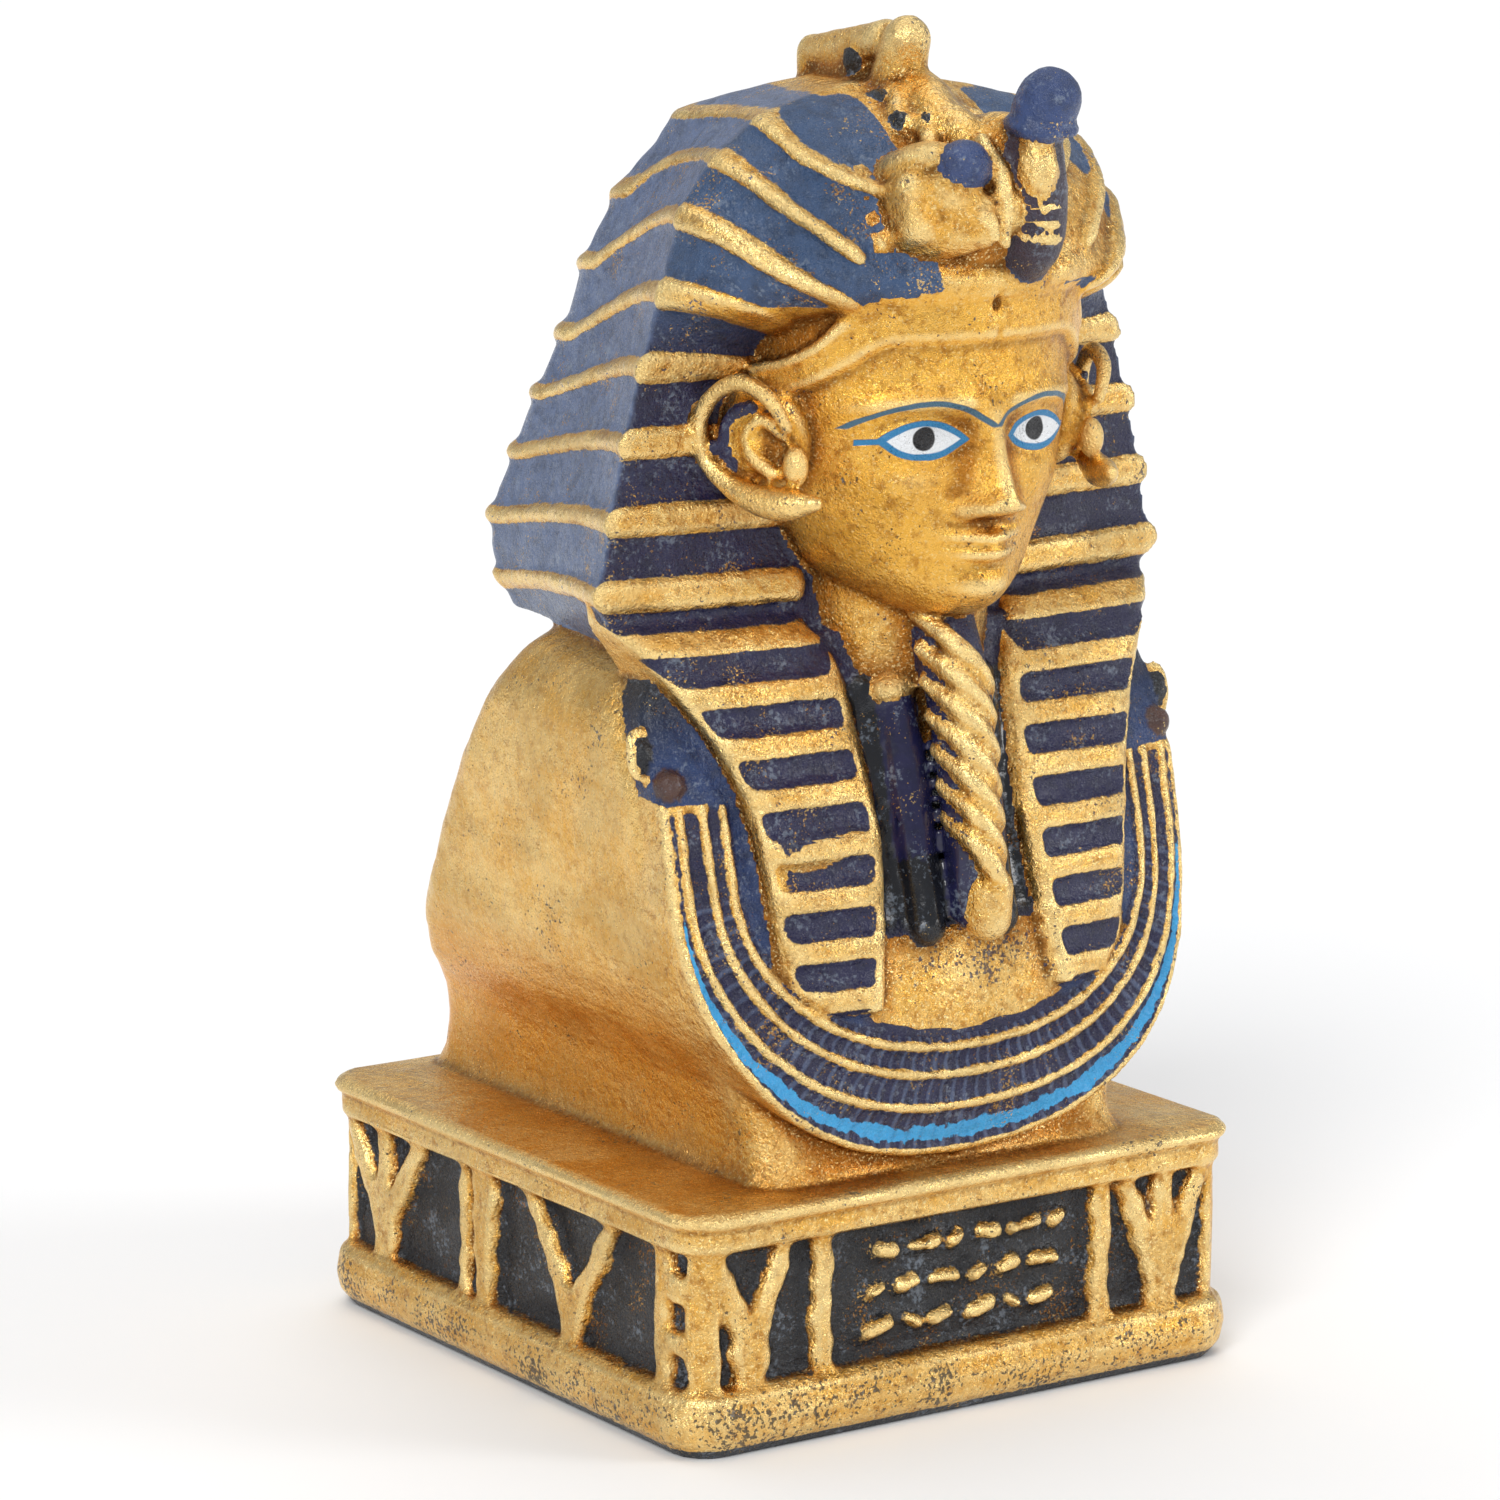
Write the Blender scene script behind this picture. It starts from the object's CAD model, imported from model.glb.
import math

import bpy
import numpy as np
from mathutils import Matrix, Vector, noise
from mathutils.bvhtree import BVHTree
from mathutils.kdtree import KDTree


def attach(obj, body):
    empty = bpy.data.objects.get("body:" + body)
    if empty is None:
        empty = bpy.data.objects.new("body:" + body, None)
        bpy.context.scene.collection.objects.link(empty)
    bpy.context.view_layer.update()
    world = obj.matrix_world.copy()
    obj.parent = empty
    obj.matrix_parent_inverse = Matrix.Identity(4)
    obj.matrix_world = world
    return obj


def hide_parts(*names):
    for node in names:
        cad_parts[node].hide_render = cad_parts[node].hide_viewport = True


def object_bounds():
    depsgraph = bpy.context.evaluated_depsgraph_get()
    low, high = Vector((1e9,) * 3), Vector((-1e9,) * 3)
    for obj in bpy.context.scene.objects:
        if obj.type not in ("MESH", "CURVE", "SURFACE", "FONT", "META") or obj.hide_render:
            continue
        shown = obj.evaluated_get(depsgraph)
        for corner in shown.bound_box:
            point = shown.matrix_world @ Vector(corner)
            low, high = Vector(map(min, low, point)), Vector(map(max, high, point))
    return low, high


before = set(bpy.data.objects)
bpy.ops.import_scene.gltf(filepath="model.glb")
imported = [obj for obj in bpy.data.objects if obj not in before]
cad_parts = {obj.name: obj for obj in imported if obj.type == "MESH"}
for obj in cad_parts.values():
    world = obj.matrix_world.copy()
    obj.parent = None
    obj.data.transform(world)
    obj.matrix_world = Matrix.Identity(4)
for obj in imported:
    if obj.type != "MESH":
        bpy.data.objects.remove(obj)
cad_low, cad_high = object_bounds()
MM = 0.001

# The camera looks down a little at the figure's right shoulder, from about 45 cm away.
# It stands still, with a long lens, as for a catalogue picture.
AZIMUTH, ELEVATION = math.radians(-33.95), math.radians(11.29)
back = Vector((math.sin(AZIMUTH) * math.cos(ELEVATION), -math.cos(AZIMUTH) * math.cos(ELEVATION),
               math.sin(ELEVATION)))
right = Vector((0, 0, 1)).cross(back).normalized()
camera = bpy.data.objects.new("camera", bpy.data.cameras.new("camera"))
camera.data.sensor_width, camera.data.lens, camera.data.clip_start = 36, 144, 0.01
camera.matrix_world = Matrix((right, back.cross(right), back)).transposed().to_4x4()
camera.matrix_world.translation = Vector((-246.79, -363.32, 132.35)) * MM
bpy.context.scene.collection.objects.link(camera)
bpy.context.scene.camera = camera


# The plinth: a square block with a foot band, a sunk die with raised gold flowers and
# posts on black, and a top slab. It is part of the one resin casting, and so is every
# form below: each is poured into the same mould, with its own paint.
WIDTH, DEPTH, HEIGHT, CORNER = 49.8, 52.2, 18.0, 4.0
FOOT_BAND, FOOT_CHAMFER, SLAB_EDGE, FASCIA = 4.9, 1.3, 1.2, 1.8
DIE_INSET, PANEL_DEPTH, STROKE = 1.0, 1.1, 0.95
GRAIN_STEP = 0.3
BLACK = (0.010, 0.011, 0.014)
mould = {"points": [], "faces": [], "gold": [], "sky": [], "under": [], "count": 0}


def pour(rows, gold=3.0, under=BLACK, sky=-3.0):
    """Add one closed form of rings: gold is the distance inside the gold paint, in millimetres."""
    rows = np.asarray(rows, float)
    high, wide = rows.shape[:2]
    gold = np.broadcast_to(np.asarray(gold, float), (high, wide)).ravel()
    sky = np.broadcast_to(np.asarray(sky, float), (high, wide)).ravel()
    under = np.broadcast_to(np.asarray(under, float), (high, wide, 3)).reshape(-1, 3)
    ends = np.stack((rows[0].mean(0), rows[-1].mean(0)))
    at = np.arange(high * wide).reshape(high, wide) + mould["count"]
    a, b = at[:-1], np.roll(at[:-1], -1, 1)
    c, d = np.roll(at[1:], -1, 1), at[1:]
    sides = np.concatenate((np.stack((a, b, c), -1).reshape(-1, 3), np.stack((a, c, d), -1).reshape(-1, 3)))
    low_hub, high_hub = mould["count"] + high * wide, mould["count"] + high * wide + 1
    first, last = at[0], at[-1]
    floor = np.stack((np.roll(first, -1), first, np.full(wide, low_hub)), -1)
    roof = np.stack((last, np.roll(last, -1), np.full(wide, high_hub)), -1)
    mould["points"].append(np.concatenate((rows.reshape(-1, 3), ends)))
    mould["gold"].append(np.concatenate((gold, gold[[0, -1]])))
    mould["sky"].append(np.concatenate((sky, sky[[0, -1]])))
    mould["under"].append(np.concatenate((under, under[[0, -1]])))
    mould["faces"].append(np.concatenate((sides, floor, roof)))
    mould["count"] += high * wide + 2


def outline(width, depth, corner, step):
    """Points, outward normals, face number and distance along that face, round a plan."""
    points, normals, sides, along = [], [], [], []
    for number in range(4):
        half = (width if number % 2 == 0 else depth) / 2
        reach = (depth if number % 2 == 0 else width) / 2
        flat, bend = half - corner, corner * math.pi / 4
        for u in np.linspace(-flat - bend, flat + bend, round(2 * (flat + bend) / step), endpoint=False):
            turn = max(0.0, abs(u) - flat) / corner * math.copysign(1, u)
            x = max(-flat, min(flat, u)) + corner * math.sin(turn)
            y = -(reach - corner) - corner * math.cos(turn)
            spin = number * math.pi / 2
            cos, sin = math.cos(spin), math.sin(spin)
            nx, ny = math.sin(turn), -math.cos(turn)
            points.append((x * cos - y * sin, x * sin + y * cos))
            normals.append((nx * cos - ny * sin, nx * sin + ny * cos))
            sides.append(number)
            along.append(u)
    return np.array(points), np.array(normals), np.array(sides), np.array(along)


def bar(strokes, start, end, wide=STROKE, end_wide=None):
    strokes.append((start, end, wide, wide if end_wide is None else end_wide))


def raised_by(strokes, u, z):
    """How far a point lies inside the nearest raised bar, negative outside all of them."""
    best = np.full(np.broadcast(u, z).shape, -9.0)
    for (u0, z0), (u1, z1), wide, end_wide in strokes:
        run = np.hypot(u1 - u0, z1 - z0)
        t = np.clip(((u - u0) * (u1 - u0) + (z - z0) * (z1 - z0)) / run**2, 0, 1)
        away = np.hypot(u - u0 - t * (u1 - u0), z - z0 - t * (z1 - z0))
        best = np.maximum(best, wide + (end_wide - wide) * t - away)
    best = best + 0.12 * np.sin(1.3 * u + 0.8 * z) + 0.10 * np.sin(2.3 * z - 1.4 * u)
    return best + 0.05 * np.sin(5.1 * u + 2.3 * z)


DIE_TOP = HEIGHT - SLAB_EDGE - FASCIA
TALL = DIE_TOP - FOOT_BAND


def lotus(strokes, at, spread):
    """A flower of three prongs on a thick stem that widens to the foot."""
    bar(strokes, (at, FOOT_BAND - 0.6), (at, FOOT_BAND + TALL * 0.46), STROKE * 1.5, STROKE * 2.0)
    for lean in (-1, 0, 1):
        bar(strokes, (at + lean * 0.9, FOOT_BAND + TALL * 0.36), (at + lean * spread, DIE_TOP + 0.3),
            STROKE * 1.25, STROKE * 0.95)


def fork(strokes, at, spread):
    """A flower of two slim prongs over a round bud."""
    for lean in (-1, 1):
        bar(strokes, (at, FOOT_BAND + TALL * 0.22), (at + lean * spread, DIE_TOP + 0.3),
            STROKE * 1.3, STROKE * 0.8)
    bar(strokes, (at, FOOT_BAND - 0.6), (at, FOOT_BAND + TALL * 0.24), STROKE * 1.1, STROKE * 1.9)


def post(strokes, at, wide=STROKE):
    bar(strokes, (at, FOOT_BAND - 0.6), (at, DIE_TOP + 0.6), wide)


def panel(strokes):
    """Three rows of short strokes that spell nothing, in the middle of the front."""
    for row, z in enumerate((7.3, 10.1, 12.9)):
        u = -8.6 + 0.5 * row
        turn = row
        while u < 8.4:
            long = (1.9, 0.7, 1.3)[turn % 3]
            tilt = (0.25, -0.15, 0.1)[(turn + row) % 3]
            bar(strokes, (u, z - tilt), (u + long, z + tilt), 0.52)
            u += long + 1.7
            turn += 1


def face_of_plinth(number):
    """The raised strokes of one face: number 0 is the front, and the others are alike."""
    strokes = []
    half = (WIDTH if number % 2 == 0 else DEPTH) / 2
    for side in (-1, 1):
        post(strokes, side * (half - 1.2), STROKE * 1.2)
    if number == 0:
        fork(strokes, -18.8, 3.2)
        post(strokes, -22.2, STROKE * 0.8)
        bar(strokes, (-23.6, 10.4), (-22.2, 10.6), STROKE)
        post(strokes, -12.6)
        post(strokes, 12.2)
        lotus(strokes, 18.0, 3.8)
        panel(strokes)
    else:
        lotus(strokes, -18.0, 5.6)
        bar(strokes, (-6.4, FOOT_BAND - 0.6), (-6.0, DIE_TOP + 0.6), STROKE * 0.8)
        bar(strokes, (-3.6, FOOT_BAND - 0.6), (-3.4, DIE_TOP + 0.6), STROKE * 1.1, STROKE * 1.9)
        fork(strokes, 8.6, 5.8)
        post(strokes, half - 5.4, STROKE * 1.1)
        bar(strokes, (half - 5.0, 12.4), (half - 1.4, 12.2), STROKE * 1.2)
        bar(strokes, (half - 5.0, 8.2), (half - 1.4, 8.0), STROKE * 1.1)
    return strokes


def pour_plinth():
    """Rings up the profile; inside the die they come forward where a stroke stands raised."""
    sunk = DIE_INSET + PANEL_DEPTH
    profile = ((sunk + 2, 0.0), (FOOT_CHAMFER, 0.0), (0.25, FOOT_CHAMFER), (0.0, FOOT_BAND * 0.55),
               (DIE_INSET * 0.3, FOOT_BAND * 0.9), (DIE_INSET, FOOT_BAND), (sunk, FOOT_BAND + 0.15),
               (sunk, DIE_TOP - 0.15), (DIE_INSET, DIE_TOP), (DIE_INSET * 0.6, DIE_TOP + FASCIA * 0.15),
               (DIE_INSET * 0.6, DIE_TOP + FASCIA * 0.75), (DIE_INSET * 0.9, DIE_TOP + FASCIA),
               (0.15, DIE_TOP + FASCIA + 0.3), (0.0, HEIGHT - SLAB_EDGE * 0.4), (0.7, HEIGHT),
               (5.0, HEIGHT + 0.25))
    insets, heights = [], []
    for (i0, z0), (i1, z1) in zip(profile, profile[1:]):
        for t in np.linspace(0, 1, max(2, round(math.hypot(i1 - i0, z1 - z0) / GRAIN_STEP)), endpoint=False):
            insets.append(i0 + (i1 - i0) * t)
            heights.append(z0 + (z1 - z0) * t)
    points, normals, sides, along = outline(WIDTH, DEPTH, CORNER, GRAIN_STEP)
    inset = np.broadcast_to(np.array(insets)[:, None], (len(insets), len(along))).copy()
    z = np.broadcast_to(np.array(heights)[:, None], inset.shape)
    inside = np.full(inset.shape, -9.0)
    for number in range(4):
        columns = sides == number
        inside[:, columns] = raised_by(face_of_plinth(number), along[columns][None, :], z[:, columns])
    stands = np.clip(inside / 0.5 + 0.35, 0, 1)
    stands = stands * stands * (3 - 2 * stands)
    deep = inset > DIE_INSET
    in_die = deep & (z > FOOT_BAND - 0.01) & (z < DIE_TOP + 0.01)
    inset = np.where(in_die, DIE_INSET + (inset - DIE_INSET) * (1 - stands), inset)
    frame_edge = np.maximum(FOOT_BAND + 0.1 - z, z - DIE_TOP + 0.1)
    gold = np.maximum(inside, frame_edge)
    gold = np.minimum(gold, (z - FOOT_CHAMFER * 0.55) * 1.2)
    xy = points[None] - normals[None] * inset[..., None]
    pour(np.concatenate((xy, z[..., None]), -1), gold, BLACK)


pour_plinth()


# The body of the bust: shoulders and a sloping back on a narrow foot, left plain and
# painted gold all over. It runs into the plinth's top in a soft hollow.
TURN = np.linspace(0, 2 * math.pi, 360, endpoint=False)


def curve_of(*table):
    """A smooth function through a short table of (position, value) pairs."""
    at = np.array([row[0] for row in table], float)
    value = np.array([row[1] for row in table], float)
    slope = np.gradient(value, at)

    def read(x):
        x = np.clip(np.asarray(x, float), at[0], at[-1])
        k = np.clip(np.searchsorted(at, x) - 1, 0, len(at) - 2)
        span = at[k + 1] - at[k]
        t = (x - at[k]) / span
        return ((2 * t**3 - 3 * t**2 + 1) * value[k] + (t**3 - 2 * t**2 + t) * span * slope[k]
                + (3 * t**2 - 2 * t**3) * value[k + 1] + (t**3 - t**2) * span * slope[k + 1])
    return read


def bump(x, middle, half):
    """A bell of height 1 at the middle."""
    return np.exp(-((x - middle) / half)**2)


def ease(low, high, x):
    """A smooth step from 0 at low to 1 at high."""
    t = np.clip((x - low) / (high - low), 0, 1)
    return t * t * (3 - 2 * t)


block_half = curve_of((16.5, 17.8), (17.6, 16.7), (19, 16.2), (22, 16.2), (25, 17.0), (29, 19.6), (33, 21.4),
                      (38, 22.1), (43, 22.6), (48, 22.9), (52, 22.4), (54.5, 20.6), (57, 16.5))
block_back = curve_of((16.5, 25.4), (17.6, 24.3), (19, 23.6), (26, 21.2), (36, 15.2), (44, 10.2), (52, 4.6),
                      (57, 1.5))


def collar_edge(z):
    """The rim of the collar leans forward at the foot, and the shoulder leans back above it."""
    return np.where(z < 46, -18.5 - 0.18 * (46 - np.maximum(z, 16.0)), -18.5 + 0.55 * (z - 46))


def pour_block():
    """Rings with round corners from the plinth's top to the shoulders, with a rounded back."""
    rows = []
    for z in np.arange(16.5, 57.01, 0.4):
        half, rear = float(block_half(z)), float(block_back(z))
        front = float(collar_edge(np.array(z))) + 0.8 - 1.4 * float(bump(z, 16.5, 1.6))
        middle, deep = (rear + front) / 2, (rear - front) / 2
        points, _, _, _ = outline(2 * half, 2 * deep, 3.0, 0.4)
        if not rows:
            count = len(points)
        pick = np.linspace(0, len(points), count, endpoint=False)
        low = np.floor(pick).astype(int)
        part = (pick - low)[:, None]
        ring = points[low] * (1 - part) + points[(low + 1) % len(points)] * part
        swell = 2.2 * np.clip(ring[:, 1] / deep, 0, 1) * (1 - (ring[:, 0] / half)**2)
        rows.append(np.stack((ring[:, 0], ring[:, 1] + middle + swell, np.full(count, z)), 1))
    pour(rows)


pour_block()


# The broad collar: bands of beads between raised gold cords, one light blue band near
# the rim, and a bare gold chest in the middle. It bulges forward over the foot.
COLLAR_HALF, COLLAR_MIDDLE, COLLAR_DROP, COLLAR_RISE = 22.6, 40.5, 21.4, 16.5
BANDS_TOP = 45.8
CORDS = (3.75, 6.25, 8.3)
NAVY = (0.014, 0.014, 0.055)
DUSK = (0.016, 0.040, 0.130)
chest_middle = curve_of((17, -22.8), (19, -23.5), (22, -24.4), (26, -25.0), (30, -24.9), (34, -24.2),
                        (38, -23.2), (42, -22.0), (46, -20.7), (52, -19.0), (57, -17.6))


def chest_depth(x, z):
    """The collar's plain surface: it falls away from the middle of the chest to the rim."""
    fall = np.clip(1 - (x / (COLLAR_HALF + 0.4))**2, 0, 1)**0.7
    edge = collar_edge(z)
    return edge + (chest_middle(z) - edge) * fall


def pour_collar():
    """Rings that shrink from the rim of the collar to the middle of the chest."""
    across, up = np.cos(TURN), np.sin(TURN)
    power = np.where(up < 0, 2.2, 6.0)
    reach = (np.abs(across)**power + np.abs(up)**power)**(-1 / power)
    rows, golds, unders, skies = [], [], [], []
    insets = np.concatenate(([0.0], np.arange(0, 11, 0.16), np.linspace(11, 21, 20)))
    for number, inset in enumerate(insets):
        half = COLLAR_HALF - 0.35 * min(inset, 3.75) - 0.72 * max(inset - 3.75, 0)
        if inset > 10.5:
            half = 16.4 * (21.4 - inset) / 10.9
        x = half * reach * across
        rise = np.where(up < 0, COLLAR_DROP - inset, COLLAR_RISE * half / COLLAR_HALF)
        z = COLLAR_MIDDLE + rise * reach * up
        stretch = np.hypot(x - last[0], z - last[1]) / (inset - last[2]) if number > 1 else np.ones_like(x)
        stretch = np.clip(stretch, 0.3, 1.0)
        last = (x, z, inset)
        banded = ease(BANDS_TOP + 0.5, BANDS_TOP - 0.1, z)
        lip = bump(inset * stretch, 0.35, 0.45)
        cords = sum(bump((inset - cord) * stretch, 0, 0.34) for cord in CORDS)
        y = chest_depth(x, z) - banded * (0.5 * lip + 0.6 * cords)
        chest = ease(9.2, 9.9, inset) * ease(9.5, 7.5, np.abs(x)) * ease(37, 35, z)
        dark_chest = ease(37, 39, z)
        y = y - 0.35 * ease(0.2, 0.9, inset) * (1 - banded)
        on_cords = [0.34 - abs(inset - cord) * stretch for cord in CORDS]
        gold = np.maximum.reduce([0.6 - inset * stretch, *on_cords])
        gold = np.where(z > BANDS_TOP + 0.4, -1.0, gold)
        gold = np.maximum(gold, 0.3 - np.abs(z - BANDS_TOP - 0.1) - 5 * ease(7.0, 8.0, inset))
        gold = np.where((chest > 0.5) & (z < 36), 1.0, gold)
        gold = np.where((inset > 9.0) & (dark_chest > 0.5) & (z < BANDS_TOP), -1.0, gold)
        light = np.maximum(np.minimum(0.66 - abs(inset - 1.72), (38.5 - z) * 0.5), -2.0 - (inset > 9.0))
        plain = ((inset > 9.2) | (z > BANDS_TOP)) & (np.abs(x) > 9)
        shaded = ease(49, 56, z + 0.5 * (np.abs(x) - 19))[:, None]
        under = np.where(plain[:, None], np.array(DUSK) * (1 - shaded) + np.array(BLACK) * shaded, NAVY)
        under = np.where(((inset > 9.0) & (np.abs(x) <= 9) & (z > 36))[:, None], BLACK, under)
        if number == 0:
            x, z = x * 0.975, COLLAR_MIDDLE + (z - COLLAR_MIDDLE) * 0.975
            y = np.full_like(y, -9.0)
            gold = np.full_like(gold, 1.0)
        rows.append(np.stack((x, y, z), 1))
        golds.append(gold)
        unders.append(under)
        skies.append(light)
    pour(rows, np.array(golds), np.array(unders), np.array(skies))


pour_collar()


# Shoulder clasps: a round boss and a drop-shaped hollow with a raised rim, at the top
# end of the bands on each side.
def squared(wave, power):
    """A wave from -1 to 1 with fuller shoulders for a power below 1."""
    return np.sign(wave) * np.abs(wave)**power


def ball(middle, half, gold=3.0, under=NAVY, tilt=0.0, both=False, boxy=1.0):
    """An ellipsoid, tipped about the X axis, squarer for a small boxy, and its twin if asked."""
    angles = np.linspace(-math.pi / 2, math.pi / 2, 26)[1:-1]
    around = np.linspace(0, 2 * math.pi, 48, endpoint=False)
    x = half[0] * np.outer(squared(np.cos(angles), boxy), squared(np.cos(around), boxy))
    y = half[1] * np.outer(squared(np.cos(angles), boxy), squared(np.sin(around), boxy))
    z = half[2] * np.outer(squared(np.sin(angles), boxy), np.ones_like(around))
    c, s = math.cos(math.radians(tilt)), math.sin(math.radians(tilt))
    rows = np.stack((x + middle[0], y * c - z * s + middle[1], y * s + z * c + middle[2]), -1)
    pour(rows, gold, under)
    if both:
        pour(rows * (-1, 1, 1), gold, under)


def sweep(route, radii, gold=3.0, under=NAVY, both=False, sides=28, step=0.35):
    """A round-ended bar along a smooth route, with a radius at each of its points."""
    route, radii = np.array(route, float), np.array(radii, float)
    at = np.concatenate(([0], np.cumsum(np.linalg.norm(np.diff(route, axis=0), axis=1))))
    s = np.linspace(0, at[-1], max(8, int(at[-1] / step)))
    line = np.stack([curve_of(*zip(at, route[:, k]))(s) for k in range(3)], 1)
    wide = curve_of(*zip(at, radii))(s)
    run = np.gradient(line, axis=0)
    run /= np.linalg.norm(run, axis=1)[:, None]
    helper = np.array((1.0, 0, 0)) if abs(run[:, 0]).mean() < 0.7 else np.array((0, 0, 1.0))
    side = np.cross(run, helper)
    side /= np.linalg.norm(side, axis=1)[:, None]
    other = np.cross(run, side)
    around = np.linspace(0, 2 * math.pi, sides, endpoint=False)
    rows = []
    caps = np.linspace(0, math.pi / 2, 6)
    for angle in caps[:0:-1]:
        rows.append((line[0] - run[0] * wide[0] * math.sin(angle), side[0], other[0],
                     wide[0] * math.cos(angle)))
    rows += [(line[k], side[k], other[k], wide[k]) for k in range(len(s))]
    for angle in caps[1:]:
        rows.append((line[-1] + run[-1] * wide[-1] * math.sin(angle), side[-1], other[-1],
                     wide[-1] * math.cos(angle)))
    rings = np.array([p + r * (np.outer(np.cos(around), a) + np.outer(np.sin(around), b))
                      for p, a, b, r in rows])
    pour(rings, gold, under)
    if both:
        pour(rings * (-1, 1, 1), gold, under)


ball((21.5, -18.5, 47.5), (1.15, 1.1, 1.15), -3, (0.085, 0.040, 0.030), both=True)
ball((22.7, -16.7, 49.5), (0.8, 0.9, 1.3), -3, BLACK, both=True)
sweep([(22.8 + 0.85 * math.sin(a), -16.8 + 0.4 * math.cos(a), 49.6 + 1.75 * math.cos(a))
       for a in np.linspace(-0.4, 4.2, 11)], [0.35] * 11, both=True)


# The headcloth: pleated linen as the carver shows it, with raised gold stripes, a sharp
# fold down each side, and dusty blue paint that is darkest in front of the fold.
FOLD_Y = -13.8
STEEL = (0.040, 0.085, 0.185)
CLOTH = (0.120, 0.165, 0.290)
fold_half = curve_of((56, 21.2), (58, 23.2), (60, 24.3), (63.2, 23.8), (69.5, 22.5), (75, 21.1), (79, 19.9),
                     (82, 19.0), (85, 18.1), (88.5, 16.8), (92, 13.6), (94.5, 9.0), (95.6, 4.0))
rear_half = curve_of((56, 17.5), (60, 18.6), (69, 17.4), (77, 15.4), (84, 13.8), (90, 11.2), (94, 8.0),
                     (95.6, 3.0))
rear_y = curve_of((56, 7.6), (60, 8.6), (69, 6.2), (77, 2.8), (84, 0.8), (90, -2.0), (94, -5.2), (95.6, -8.6))
back_y = curve_of((56, 13.0), (60, 14.6), (69, 13.0), (77, 10.6), (84, 8.2), (90, 4.2), (94, -1.6),
                  (95.6, -7.0))
front_y = curve_of((56, -17.2), (60, -16.2), (66, -15.4), (72, -15.6), (79, -20.0), (81, -26.6), (85, -27.0),
                   (89, -25.0), (92, -22.0), (94.5, -18.0), (95.6, -15.0))
stripe_number = curve_of((48, -2.0), (54.2, -1.0), (60.5, 0), (65.7, 1), (71.2, 2), (76.5, 3), (81.7, 4),
                         (87, 5), (91, 6), (93.7, 7), (96.6, 8), (102, 9.5))
stripe_fall = curve_of((56, 0.10), (60.5, 0.112), (65.7, 0.143), (71.4, 0.21), (76.7, 0.29), (81.4, 0.32),
                       (87, 0.28), (91, 0.12), (96, 0.0))
FRONT_POINTS, SIDE_POINTS, REAR_POINTS = 70, 70, 60
FRONT_GOLD, SIDE_GOLD = 0.42, 0.27


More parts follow.
